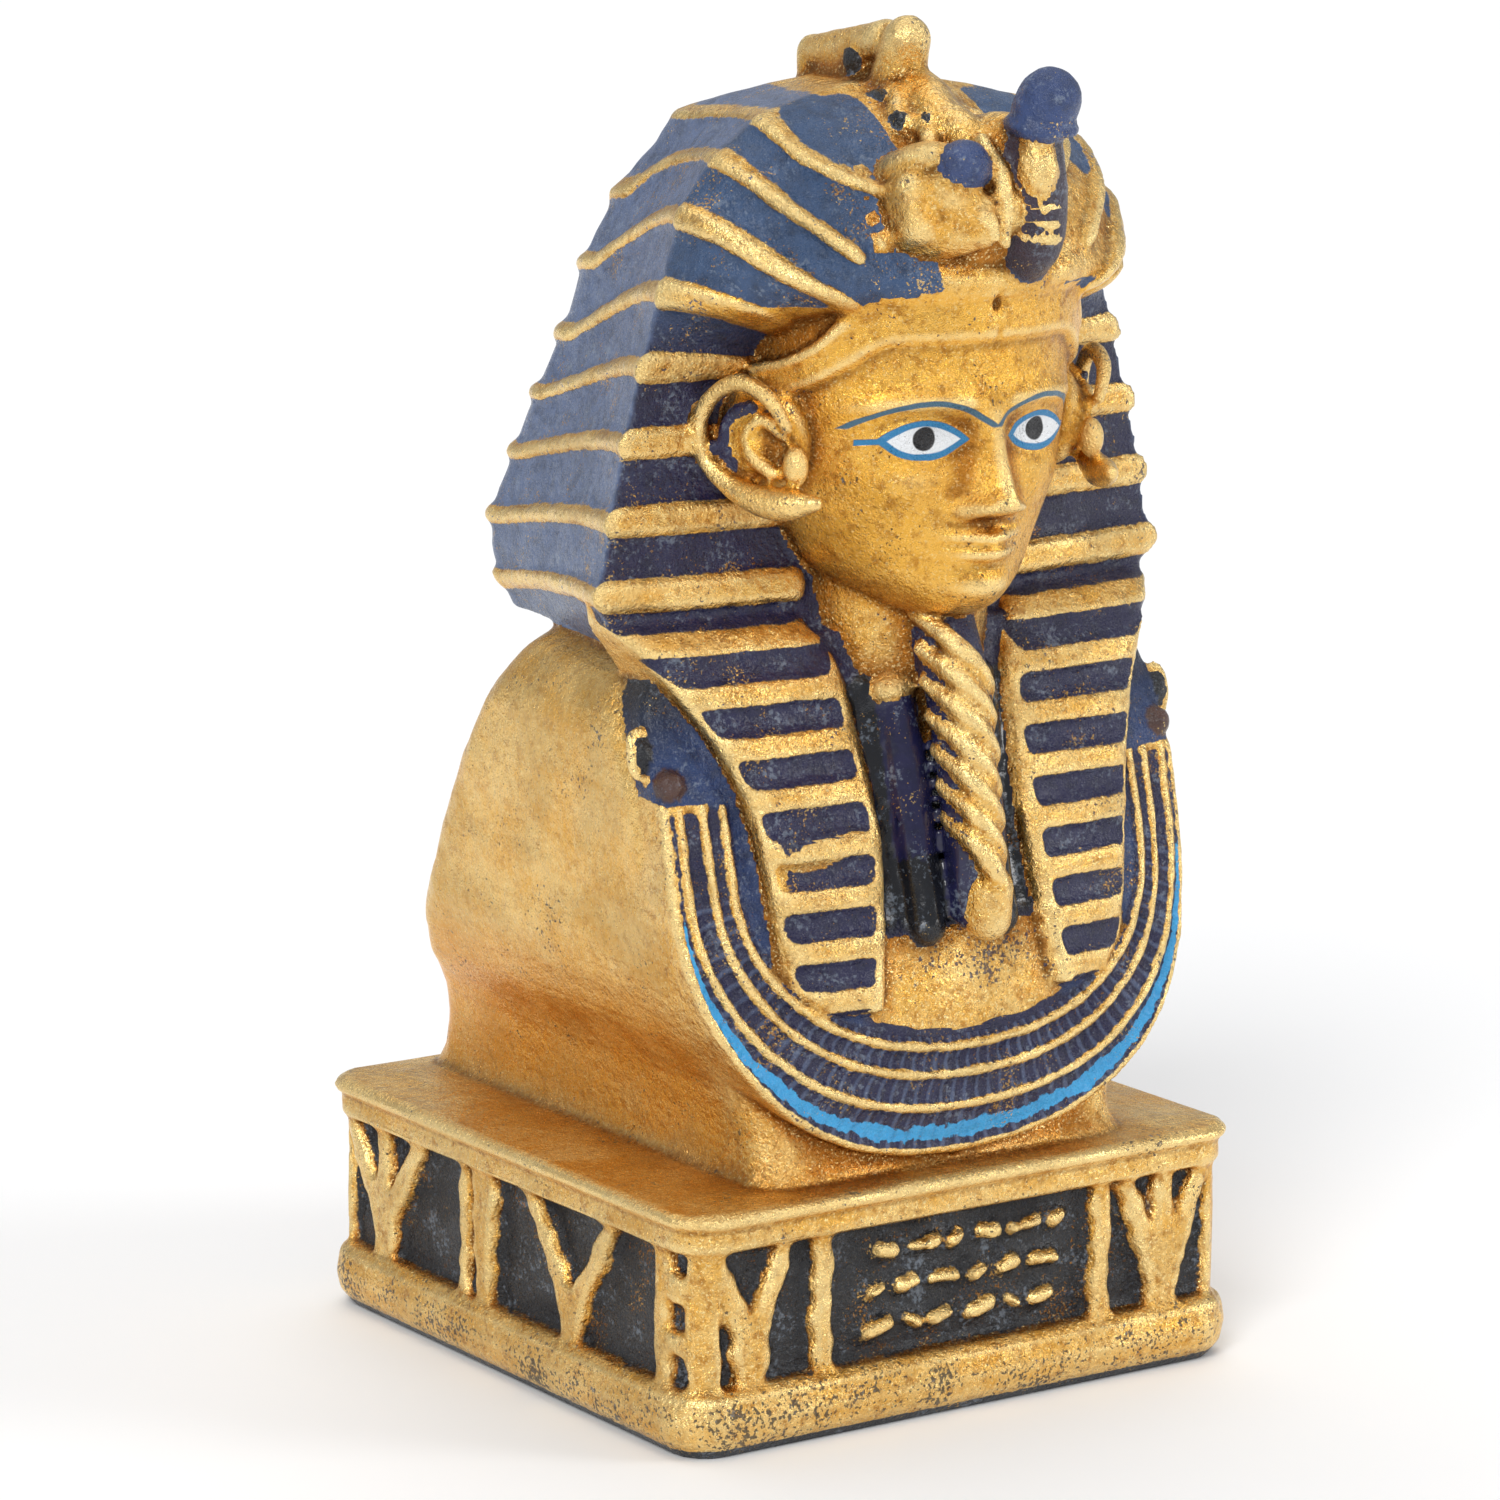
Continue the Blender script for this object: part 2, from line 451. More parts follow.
def pour_headcloth():
    """Rings from the middle of the front, round the fold and the side, to the middle of the back."""
    rows, golds, unders = [], [], []
    t = np.linspace(0, 1, FRONT_POINTS, endpoint=False)
    along_side = np.linspace(0, 1, SIDE_POINTS, endpoint=False)
    round_back = np.linspace(0, 1, REAR_POINTS)
    behind_fold = np.concatenate((np.zeros(FRONT_POINTS), np.ones(SIDE_POINTS + REAR_POINTS)))
    heights = np.concatenate((np.arange(56.0, 94.0, 0.25), np.arange(94.0, 95.61, 0.16)))
    for z in heights:
        half, rx, ry = float(fold_half(z)), float(rear_half(z)), float(rear_y(z))
        rear, front = float(back_y(z)), float(front_y(z))
        fold = FOLD_Y - 1.2 * float(ease(86, 95, z))
        dome = float(ease(78, 84, z))
        arc = math.pi / 2 * t
        fx = half * ((1 - dome) * t + dome * np.sin(arc))
        fy = front + (fold - front) * ((1 - dome) * t**2 + dome * (1 - np.cos(arc))**0.9)
        run = (1 - t)**2.2 * float(ease(75, 80.5, z))
        crowd = np.clip((z + 20 * run - 88) / 11, 0, 1)
        front_level = z + (20 - 10 * crowd**2 * (3 - 2 * crowd)) * run
        spread = 1 - 10 * 6 * crowd * (1 - crowd) / 11 * run
        sx = half + (rx - half) * (along_side + 0.10 * np.sin(math.pi * along_side))
        sy = fold + (ry - fold) * along_side
        slant = float(stripe_fall(z))
        side_level = z + slant * (ry - fold) * along_side**1.7
        arc = math.pi / 2 * round_back
        bx, by = rx * np.cos(arc)**0.8, ry + (rear - ry) * np.sin(arc)**0.9
        back_level = z + slant * (ry - fold) * (1 + 0.25 * round_back)
        x, y = np.concatenate((fx, sx, bx)), np.concatenate((fy, sy, by))
        level = np.concatenate((front_level, side_level, back_level))
        number = np.minimum(stripe_number(level), 7.5)
        spread = np.maximum(np.concatenate((spread, np.ones(SIDE_POINTS + REAR_POINTS))), 0.3)
        pitch = 1 / np.maximum(np.gradient(stripe_number(np.linspace(50, 102, 400)), 52 / 399)
                               [np.clip(((level - 50) / 52 * 399).astype(int), 0, 399)], 0.05)
        share = np.where(behind_fold > 0.5, SIDE_GOLD, FRONT_GOLD)
        off = np.abs((number + 0.5) % 1.0 - 0.5)
        inside = (share / 2 - off / spread) * pitch
        stays = np.concatenate((ease(0.30, 0.37, t), np.ones(SIDE_POINTS + REAR_POINTS)))
        inside = inside * stays - (1 - stays) if z < 87 else inside
        raised = 0.95 * np.clip(inside / 0.55 + 0.35, 0, 1)
        raised = raised * (1 - 0.35 * behind_fold)
        middle_y = (fold + ry) / 2
        away = np.stack((x, y - middle_y), 1)
        away /= np.maximum(np.linalg.norm(away, axis=1), 1e-6)[:, None]
        x, y = x + away[:, 0] * raised, y + away[:, 1] * raised
        brow = ease(81.6, 80.4, z) * (y < -19) * 2.0 - 1
        saddle = np.minimum(3.0 - x, -14.5 - y)
        worn = np.minimum(np.minimum(np.maximum(-21.0 - y, saddle), z - 82), 1.0)
        crest = np.minimum(4.6 - x, np.minimum(-14.5 - y, z - 82))
        gold = np.maximum(np.maximum(inside, brow), np.maximum(z - 94.95, crest))
        front_blue = np.array(NAVY) + (np.array(STEEL) - NAVY) * float(ease(76, 84, z))
        dark = np.where(behind_fold[:, None] > 0.5, CLOTH, front_blue)
        left = slice(-2, 0, -1)
        rows.append(np.concatenate((np.stack((x, y, np.full_like(x, z)), 1),
                                    np.stack((-x[left], y[left], np.full_like(x[left], z)), 1))))
        far_gold = np.maximum(gold, worn)
        golds.append(np.concatenate((far_gold, gold[left])))
        unders.append(np.concatenate((dark, dark[left])))
    pour(rows, np.array(golds), np.array(unders))


pour_headcloth()


# The two lappets: the striped ends of the headcloth, lying on the chest. Each stripe of
# paint is a sunk cell with round corners inside a gold border.
lappet_outer = curve_of((31, 12.8), (33, 14.4), (36, 15.1), (42, 15.9), (45, 16.4), (48, 17.3), (50.5, 18.4),
                        (53.3, 20.1), (56, 21.9), (58.5, 23.6), (61, 23.4))
lappet_inner = curve_of((31, 7.6), (37, 6.7), (44, 6.2), (50.5, 6.6), (55.4, 7.6), (61, 11.2))
lappet_front_in = curve_of((31, -25.9), (34, -25.4), (38, -24.6), (43, -23.5), (46.6, -22.1), (50.5, -20.8),
                           (55.4, -19.4), (61, -14.5))
lappet_front_out = curve_of((31, -24.5), (36, -24.0), (42, -23.2), (45, -22.6), (48, -21.6), (50.5, -20.5),
                            (53.3, -19.0), (56, -17.6), (58.5, -15.0), (61, -12.5))
LAPPET_FOOT, LAPPET_PITCH, CELL = 30.8, 3.6, 2.05


def pour_lappets():
    """Both lappets, ring by ring upward; a cell of paint sinks between the gold borders."""
    rows, golds = [], []
    for z in np.arange(LAPPET_FOOT, 60.6, 0.22):
        low, high = float(lappet_inner(z)), float(lappet_outer(z))
        share = np.linspace(0, 1, 60)
        x = low + (high - low) * share
        y = (1 - share) * float(lappet_front_in(z)) + share * float(lappet_front_out(z))
        middle = (z - LAPPET_FOOT - 1.1) % LAPPET_PITCH - LAPPET_PITCH / 2
        open_top = float(ease(54, 57, z))
        left = x - (low + 1.15 - 2.0 * open_top)
        right = (high - 0.45 + 1.0 * open_top) - x
        across = np.minimum(left, right)
        up = CELL / 2 - abs(middle)
        corner = 0.55
        a, b = np.minimum(across - corner, 0), min(up - corner, 0)
        cell = np.where((across < corner) & (up < corner), corner - np.hypot(a, b), np.minimum(across, up))
        sunk = 0.55 * np.clip(cell / 0.45 + 0.2, 0, 1)
        edge = 0.9 * np.abs(2 * share - 1)**8
        ring = np.stack((x, y + sunk + edge, np.full(60, z)), 1)
        rear = np.array([(high, -11.0, z), ((high + low) / 2, -11.0, z), (low, -11.0, z)])
        rows.append(np.concatenate((ring, rear)))
        golds.append(np.concatenate((-cell, (1.0, 1.0, 1.0))))
    rows = np.array(rows)
    pour(rows, np.array(golds), NAVY)
    pour(rows * (-1, 1, 1), np.array(golds), NAVY)


pour_lappets()


# The head: a smooth gold face of a calm young king, drawn on the usual thirds and
# fifths, under a plain brow band. The eyes are painted on almond-shaped swellings.
CHIN, HAIRLINE, HEAD_Y = 59.0, 80.5, -14.0
EYE_X, EYE_Z, EYE_LONG, EYE_HIGH = 4.9, 71.5, 2.7, 1.05
EYE_ARC = (EYE_LONG**2 + EYE_HIGH**2) / (2 * EYE_HIGH)
head_half = curve_of((-0.06, 2.6), (0.0, 5.0), (0.1, 7.6), (0.25, 9.8), (0.45, 11.5), (0.65, 12.2),
                     (1.1, 12.2))
head_front = curve_of((-0.06, -21.5), (0.0, -24.8), (0.06, -25.8), (0.2, -26.0), (0.45, -26.6), (0.7, -27.2),
                      (1.1, -26.8))
nose_high = curve_of((0.29, 0.0), (0.315, 0.35), (0.335, 2.2), (0.36, 3.3), (0.40, 3.1), (0.5, 2.0),
                     (0.6, 1.1), (0.68, 0.55), (0.74, 0.1), (0.8, 0.0))
nose_half = curve_of((0.3, 2.0), (0.38, 1.75), (0.5, 1.3), (0.7, 1.25))


def almond(side, z):
    """Distance inside the eye's outline, in millimetres."""
    lift = EYE_ARC - EYE_HIGH
    out, high = side - EYE_X, z - EYE_Z
    return EYE_ARC - np.maximum(np.hypot(out, high + lift), np.hypot(out, high - lift))


def face_relief(x, share):
    """How far the face stands out from the plain head, share of the way from chin to hairline."""
    side, z = np.abs(x), CHIN + (HAIRLINE - CHIN) * share
    high = nose_high(share) * np.exp(-np.abs(x / nose_half(share))**2.4)
    high += 1.35 * bump(side, 1.9, 0.95) * bump(share, 0.352, 0.035)
    high -= 0.5 * bump(side, 1.15, 0.5) * bump(share, 0.325, 0.02)
    high -= 1.5 * bump(side, EYE_X * 0.86, 2.5) * bump(share, 0.585, 0.07)
    inside = almond(side, z)
    high += 0.75 * ease(-0.9, 1.0, inside) + 0.30 * bump(inside, -0.15, 0.3)
    brow = 0.685 + 0.02 * np.cos((side - EYE_X) / EYE_X * 1.4)
    high += 0.55 * bump(share, brow, 0.035) * ease(11.5, 8.0, side) * ease(0.4, 2.4, side)
    high += 0.55 * bump(side, 6.4, 2.8) * bump(share, 0.44, 0.10)
    high += 0.9 * bump(x, 0, 3.6) * bump(share, 0.225, 0.09)
    curl = 0.008 * (side / 3.0)**2
    high += 0.80 * bump(x, 0, 2.5) * bump(share, 0.249 + curl, 0.020)
    high += 1.0 * bump(x, 0, 2.1) * bump(share, 0.194 + curl, 0.023)
    high -= 0.55 * bump(x, 0, 3.1) * bump(share, 0.222 + curl, 0.009)
    high += 1.1 * bump(x, 0, 2.6) * bump(share, 0.075, 0.06)
    high -= 0.3 * bump(x, 0, 0.6) * bump(share, 0.285, 0.03)
    return high


def pour_head():
    """Oval rings from under the chin to the brow band."""
    around = np.linspace(-math.pi, math.pi, 400, endpoint=False)
    rows = []
    for share in np.linspace(-0.06, 1.1, 130):
        half, front = float(head_half(share)), float(head_front(share))
        x = half * np.sign(np.sin(around)) * np.abs(np.sin(around))**0.92
        reach = np.where(np.cos(around) > 0, HEAD_Y - front, 6.0)
        y = HEAD_Y - reach * np.sign(np.cos(around)) * np.abs(np.cos(around))**0.9
        y = y - face_relief(x, np.full_like(x, share)) * ease(0.15, 0.5, np.cos(around))
        rows.append(np.stack((x, y, np.full_like(x, CHIN + (HAIRLINE - CHIN) * share)), 1))
    pour(rows)


pour_head()


# The ears: a thin curled rim round a hollow dish, and a long lobe that points forward.
# They stand clear of the cloth and lie flat, so they read wide from the front.
rim = ((-13.6, -21.6, 72.6), (-14.6, -20.8, 74.6), (-15.4, -18.6, 75.6), (-16.2, -16.4, 74.6),
       (-16.7, -15.2, 72.4), (-16.4, -15.4, 70.0), (-15.6, -17.2, 68.3), (-14.8, -19.4, 67.4),
       (-13.8, -21.8, 67.2), (-12.9, -24.0, 67.5))
sweep(rim, (0.45, 0.6, 0.65, 0.6, 0.6, 0.65, 0.8, 1.05, 1.15, 0.6), both=True)
ball((-11.9, -17.6, 71.3), (2.0, 3.5, 3.9), both=True)
ball((-13.6, -16.8, 71.4), (1.7, 2.6, 3.8), both=True)
ball((-15.9, -15.9, 70.8), (0.4, 0.4, 0.4), -2, NAVY, both=True)
sweep(((-14.6, -18.6, 73.9), (-15.2, -16.9, 73.0), (-15.4, -16.4, 71.2), (-15.0, -17.2, 69.6)),
      (0.35, 0.45, 0.5, 0.35), -2, NAVY, both=True)
sweep(((-13.4, -20.8, 72.0), (-14.2, -19.2, 72.9), (-14.7, -18.2, 71.8), (-14.4, -18.8, 70.2),
       (-13.9, -20.2, 69.2)), (0.45, 0.5, 0.5, 0.6, 0.5), both=True)
ball((-12.9, -21.6, 69.8), (0.9, 1.0, 1.5), both=True)


# Neck and beard: a gold neck, dark bead rolls beside it with gold caps, and the plaited
# beard of slanting strands with dark gaps, which ends in a rounded block on the chest.
sweep(((0, -12, 48), (0, -13.5, 56), (0, -14.5, 62), (0, -14, 66)), (8.4, 7.6, 7.6, 8), sides=60)
sweep(((3.2, -24.2, 36.2), (3.1, -22.9, 40.6)), (1.35, 1.45), -2, BLACK, both=True)
sweep(((3.1, -22.6, 41.4), (3.1, -21.3, 47), (3.2, -19.9, 51.8)), (1.5, 1.55, 1.5), -2, NAVY, both=True)
sweep(((5.6, -22.4, 36.0), (5.4, -20.9, 44), (5.4, -18.9, 53.0)), (0.8, 0.8, 0.8), -2, BLACK, both=True)
ball((3.3, -19.6, 52.8), (1.9, 1.8, 1.2), both=True)
sweep(((0, -20.5, 58.5), (0, -22.8, 54), (0, -24.2, 48), (0, -25.2, 42), (0, -25.4, 37.5)),
      (2.5, 2.4, 2.2, 2.0, 1.8), -0.5, NAVY)
for number in range(7):
    z, y, half = 55.0 - 2.4 * number, -23.2 - 0.45 * number, 2.7 - 0.14 * number
    sweep(((-half, y + 1.5, z + 3.4), (-half * 0.5, y - 1.4, z + 1.6), (half * 0.5, y - 1.4, z - 1.6),
           (half, y + 1.5, z - 3.4)), (0.5, 0.78, 0.78, 0.5))
sweep(((0.5, -26.4, 36.8), (0.5, -26.6, 38.9)), (1.7, 1.75))


# The brow band, and the two royal emblems on it: a bird's head with a blue ball, and a
# rearing snake under a blue cap.
band = []
for angle in np.radians(np.linspace(-70, 70, 17)):
    turn = abs(math.sin(angle))
    sink = 1.5 * float(ease(0.82, 0.95, turn))
    band.append((14.0 * math.sin(angle), -13.4 - 13.9 * math.cos(angle) + sink,
                 81.9 - 6.0 * float(ease(0.5, 1.0, turn))))
taper = [float(1 - 0.4 * ease(35, 60, abs(a))) for a in np.linspace(-70, 70, 17)]
sweep(band, [0.75 * k for k in taper])
for drop in (1.2, 2.0, 2.8):
    sweep([(x * 0.98 + 0.08, y * 0.985, z - drop * k) for (x, y, z), k in zip(band, taper)],
          [0.87 * k for k in taper], step=0.4)
ball((0, -25.2, 86.6), (5.0, 3.4, 4.2))
ball((-4.6, -25.6, 87.6), (3.1, 2.6, 2.9), tilt=-18, boxy=0.55)
sweep(((-5.0, -25.4, 88.6), (-4.0, -27.2, 88.4), (-2.7, -28.6, 87.6)), (2.4, 2.2, 1.5))
sweep(((-5.0, -25.6, 86.6), (-3.4, -27.8, 86.4), (-2.4, -29.2, 86.2)), (2.4, 1.9, 1.1))
ball((-4.4, -23.6, 90.0), (2.8, 4.4, 1.8), tilt=-24)
sweep(((-3.3, -28.6, 87.6), (-2.5, -30.0, 87.0), (-2.2, -30.4, 86.0)), (0.9, 0.7, 0.35))
sweep(((-0.7, -26.6, 92.4), (-0.7, -29.0, 89.8), (-0.8, -29.6, 85.4)), (0.5, 0.6, 0.45))
for y, z in ((-22.0, 89.6), (-22.8, 88.2), (-23.6, 86.8), (-24.6, 85.4)):
    ball((-7.9, y, z), (0.8, 1.0, 0.95))
INK = (0.038, 0.068, 0.185)
ball((-3.2, -28.0, 90.8), (1.85, 1.85, 1.85), -2, INK)
ball((2.4, -24.6, 91.0), (2.8, 4.2, 3.0))
PLUM = (0.040, 0.026, 0.045)
hood = ((2.6, -25.0, 83.6), (2.6, -27.8, 85.4), (2.6, -28.2, 88.6), (2.7, -28.0, 91.4))
sweep(hood, (2.3, 2.4, 2.4, 2.2), -2, PLUM, sides=48)
sweep(((2.0, -29.2, 92.2), (2.0, -29.5, 90.2), (2.1, -29.4, 88.6)), (1.2, 1.5, 1.2), 0.6, PLUM)
for z in (88.0, 86.9, 85.8):
    sweep(((0.7, -29.5, z), (2.4, -30.5, z - 0.3), (4.2, -29.6, z)), (0.25, 0.4, 0.25), 0.25, PLUM)
sweep(((3.0, -28.8, 94.2), (3.2, -29.2, 95.1)), (2.3, 2.3), -2, INK, sides=48)
sweep([(2.9 + 2.25 * math.cos(a), -28.7 - 2.25 * math.sin(a), 93.3 - 0.4 * math.sin(a))
       for a in np.linspace(0, 6.28, 15)], [0.4] * 15, -2, INK)


# The crown loop: a small pierced tab and a knob on top, left from hanging the figure,
# and a wavy gold crest that runs from it to the emblems.
sweep(((0, -5.4, 93.0), (0, -5.0, 97.0)), (1.5, 1.3))
sweep(((0, -5.0, 96.9), (0, -9.5, 97.6), (0, -14.0, 98.4)), (1.3, 1.4, 1.5))
ball((0, -9.6, 95.4), (1.3, 5.6, 3.0))
ball((-1.25, -11.8, 96.9), (0.7, 0.85, 0.95), -3, BLACK)
sweep(((0, -15.0, 94.0), (0, -15.8, 96.6), (0, -16.6, 98.6)), (2.2, 1.9, 1.75))
sweep(((0, -13, 94.6), (0.4, -17.5, 94.6), (-0.4, -21, 93.2), (0.2, -25, 91.0), (0, -28, 87.6)),
      (1.9, 2.0, 1.9, 2.0, 2.0))
sweep(((-1.6, -15, 94.9), (-1.6, -18, 94.6), (-2.9, -20, 93.4), (-2.1, -22, 92.6), (-3.2, -24, 91.4)),
      (0.8, 1.0, 0.8, 0.9, 0.8))
sweep(((1.6, -15, 94.9), (2.2, -18, 94.4), (1.8, -20.4, 93.6), (2.6, -22.6, 92.8)), (0.8, 1.0, 0.8, 0.9))
for x, y, z in ((-3.0, -17.2, 94.6), (-3.2, -20.4, 93.3), (-2.0, -22.0, 93.2), (0.3, -23.0, 92.9)):
    ball((x, y, z), (0.7, 0.75, 0.75), -2, BLACK)


# The tail of the headcloth, gathered and bound in rings, down the middle of the back.
def pour_tail():
    """Oval rings up the slope of the back, with a raised gold cord between blue gaps."""
    around = np.linspace(0, 2 * math.pi, 60, endpoint=False)
    rows, golds = [], []
    for z in np.arange(27.0, 60.0, 0.3):
        half = 2.6 + 0.055 * (z - 27)
        rear = float(block_back(z)) + 2.0
        off = abs((z / 2.6 + 0.5) % 1.0 - 0.5)
        raised = 0.45 * max(0.0, 1 - (off / 0.36)**2)**0.5
        y = rear + (1.2 + raised) * np.sin(around)
        rows.append(np.stack((half * np.cos(around), y, np.full(60, z)), 1))
        golds.append(np.full(60, (0.30 - off) * 2.6))
    pour(rows, np.array(golds), CLOTH)


pour_tail()


# The casting: everything poured so far sets as one piece of resin, softened as a mould
# softens it, with small lumps and slips of the carver's hand.
VOXEL, TRIANGLES = 0.30, 190000
points = np.concatenate(mould["points"])
faces = np.concatenate(mould["faces"])
poured_gold = np.concatenate(mould["gold"])
poured_sky = np.concatenate(mould["sky"])
poured_under = np.concatenate(mould["under"])
source = bpy.data.meshes.new("poured")
source.from_pydata(points * MM, [], faces)
casting = bpy.data.objects.new("king_bust_casting", source)
bpy.context.scene.collection.objects.link(casting)
fuse = casting.modifiers.new("fuse", "REMESH")
fuse.mode, fuse.voxel_size = "VOXEL", VOXEL * MM
soften = casting.modifiers.new("soften", "SMOOTH")
soften.factor, soften.iterations = 0.5, 2
graph = bpy.context.evaluated_depsgraph_get()
dense = bpy.data.meshes.new_from_object(casting.evaluated_get(graph))
casting.modifiers.clear()
casting.data = dense
thin = casting.modifiers.new("thin", "DECIMATE")
thin.ratio = min(1.0, TRIANGLES / (2 * len(dense.polygons)))
thin.use_collapse_triangulate = True
graph = bpy.context.evaluated_depsgraph_get()
cast_mesh = bpy.data.meshes.new_from_object(casting.evaluated_get(graph))
casting.modifiers.clear()
casting.data = cast_mesh


def vertices_of(mesh):
    """Places in millimetres, and outward normals."""
    place = np.empty(len(mesh.vertices) * 3, np.float32)
    mesh.vertices.foreach_get("co", place)
    normal = np.empty(len(mesh.vertices) * 3, np.float32)
    mesh.vertex_normals.foreach_get("vector", normal)
    return place.reshape(-1, 3) / MM, normal.reshape(-1, 3)


# How far each point lies below its neighbours, near by and a few millimetres round: the
# brush leaves dark paint in the hollows and the cloth rubs the gold bright on the ridges.
even, even_normal = vertices_of(dense)
ends = np.empty(len(dense.edges) * 2, np.int32)
dense.edges.foreach_get("vertices", ends)
ends = ends.reshape(-1, 2)
links = np.bincount(ends.ravel(), minlength=len(even))


def around_mean(values):
    """Each point's value averaged with its neighbours'."""
    total = np.bincount(ends[:, 0], values[ends[:, 1]], len(even))
    total += np.bincount(ends[:, 1], values[ends[:, 0]], len(even))
    return 0.4 * values + 0.6 * total / links


def below_neighbours(rounds):
    """How far each point lies under the surface that this many rounds of averaging leave."""
    wide = [even[:, k].astype(float) for k in range(3)]
    for _ in range(rounds):
        wide = [around_mean(axis) for axis in wide]
    return around_mean(((np.stack(wide, 1) - even) * even_normal).sum(1))


NEAR_ROUNDS, FAR_ROUNDS = 6, 110
near_hollow, far_hollow = below_neighbours(NEAR_ROUNDS), below_neighbours(FAR_ROUNDS)
co, normal = vertices_of(cast_mesh)
lookup = KDTree(len(even))
for number, place in enumerate(even.tolist()):
    lookup.insert(place, number)
lookup.balance()
nearest = np.array([lookup.find(place)[1] for place in co.tolist()])
hollow, shade = near_hollow[nearest], far_hollow[nearest]

# The paint that was poured with each form is read back at the nearest place on it.
tree = BVHTree.FromPolygons(points.tolist(), faces.tolist())
gold, sky, under = np.zeros(len(co)), np.zeros(len(co)), np.zeros((len(co), 3))
for number, place in enumerate(co.tolist()):
    near, _, face, _ = tree.find_nearest(place)
    corners = faces[face]
    a, b, c = points[corners]
    ab, ac, ap = b - a, c - a, np.array(near) - a
    d00, d01, d11, d20, d21 = ab @ ab, ab @ ac, ac @ ac, ap @ ab, ap @ ac
    span = d00 * d11 - d01 * d01
    v = (d11 * d20 - d01 * d21) / span if span > 1e-12 else 0.0
    w = (d00 * d21 - d01 * d20) / span if span > 1e-12 else 0.0
    weights = np.array((1 - v - w, v, w))
    gold[number] = weights @ poured_gold[corners]
    sky[number] = weights @ poured_sky[corners]
    under[number] = weights @ poured_under[corners]

# The lumps leave the underside flat, and hardly touch the face.
flat = co[:, 2] > 0.4
lumps = np.array([noise.noise(Vector(p) * 0.45) + 0.5 * noise.noise(Vector(p) * 1.3) for p in co.tolist()])
smooth_gold = np.clip((co[:, 2] - 58) / 3, 0, 1) * np.clip((82 - co[:, 2]) / 3, 0, 1) * (co[:, 1] < -16)
amount = 0.10 * flat * (1 - 0.85 * smooth_gold)
co = co + normal * (lumps * amount)[:, None]
co[:, 2] = np.maximum(co[:, 2], 0.0)
low, high = np.array(cad_low) / MM, np.array(cad_high) / MM
co = np.clip(co, low, high)
cast_mesh.vertices.foreach_set("co", (co * MM).astype(np.float32).ravel())
for name, values in (("gold", gold), ("sky", sky), ("shade", shade), ("hollow", hollow)):
    cast_mesh.attributes.new(name, "FLOAT", "POINT").data.foreach_set("value", values.astype(np.float32))
tint = np.concatenate((under, np.ones((len(co), 1))), 1).astype(np.float32)
cast_mesh.attributes.new("under", "FLOAT_COLOR", "POINT").data.foreach_set("color", tint.ravel())
cast_mesh.shade_smooth()
cast_mesh.update()
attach(casting, "root")
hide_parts("king_bust")


# The paint: black and blue brushed into the hollows, then gold rubbed over what stands
# proud, so that its edges are ragged, gold dust lies on the blue and pits stay dark.
class Wire:
    """A node's output socket, with arithmetic."""

    def __init__(self, socket, tree):
        self.socket, self.tree = socket, tree

    def node(self, kind, settings=None, out=0, **values):
        """Any node, with its settings, and a value or a link for each socket, by name or as i0, i1."""
        made = self.tree.nodes.new(kind)
        for key, value in (settings or {}).items():
            setattr(made, key, value)
        for key, value in values.items():
            socket = made.inputs[int(key[1:])] if key[0] == "i" and key[1:].isdigit() else made.inputs[key]
            if isinstance(value, Wire):
                self.tree.links.new(value.socket, socket)
            else:
                socket.default_value = value
        return Wire(made.outputs[out], self.tree)

    def math(self, operation, *others):
        """A Math node that takes this value first."""
        return self.node("ShaderNodeMath", {"operation": operation},
                         **{f"i{k}": value for k, value in enumerate((self, *others))})

    def __add__(self, other):
        return self.math("ADD", other)

    def __radd__(self, other):
        return self.math("ADD", other)

    def __sub__(self, other):
        return self.math("SUBTRACT", other)

    def __rsub__(self, other):
        return self.math("MULTIPLY_ADD", -1.0, other)

    def __mul__(self, other):
        return self.math("MULTIPLY", other)

    def __rmul__(self, other):
        return self.math("MULTIPLY", other)

    def __truediv__(self, other):
        return self.math("DIVIDE", other)

    def step(self, low, high):
        """0 below low, 1 above high, smooth between."""
        return self.node("ShaderNodeMapRange", {"interpolation_type": "SMOOTHSTEP"},
                         i0=self, i1=low, i2=high, i3=0.0, i4=1.0)

    def blend(self, other, factor):
        """Mix two colours, from this one to the other, which may be a plain colour."""
        other = other if isinstance(other, Wire) else (*other, 1.0)
        return self.node("ShaderNodeMix", {"data_type": "RGBA"}, out=2, i0=factor, i6=self, i7=other)


material = bpy.data.materials.new("painted_resin")
material.use_nodes = True
nodes = material.node_tree
shader = nodes.nodes["Principled BSDF"]
start = Wire(None, nodes)
place = start.node("ShaderNodeTexCoord", out=3)


def stored(name, out=2):
    """A value that the casting carries at each of its points."""
    return start.node("ShaderNodeAttribute", {"attribute_name": name, "attribute_type": "GEOMETRY"}, out=out)


def between(one, other, factor):
    """A mix of two plain colours."""
    return start.node("ShaderNodeMix", {"data_type": "RGBA"}, out=2, i0=factor,
                      i6=(*one, 1.0), i7=(*other, 1.0))


def grain(size, detail=2.0, rough=0.5, seed=0.0):
    """Noise between 0 and 1 whose lumps are about size millimetres across."""
    return place.node("ShaderNodeTexNoise", {"noise_dimensions": "4D"}, Vector=place, W=seed,
                      Scale=1 / (size * MM), Detail=detail, Roughness=rough)


inside_gold, inside_sky = stored("gold"), stored("sky")
sunk, deep = stored("hollow"), stored("shade")
base_paint = stored("under", out=0)
sideways = start.node("ShaderNodeSeparateXYZ", out=0, i0=place) / MM
across = sideways.math("ABSOLUTE")
depth = start.node("ShaderNodeSeparateXYZ", out=1, i0=place) / MM
up = start.node("ShaderNodeSeparateXYZ", out=2, i0=place) / MM + (grain(2.0, 1.0, 0.5, 61.0) - 0.5) * 0.25


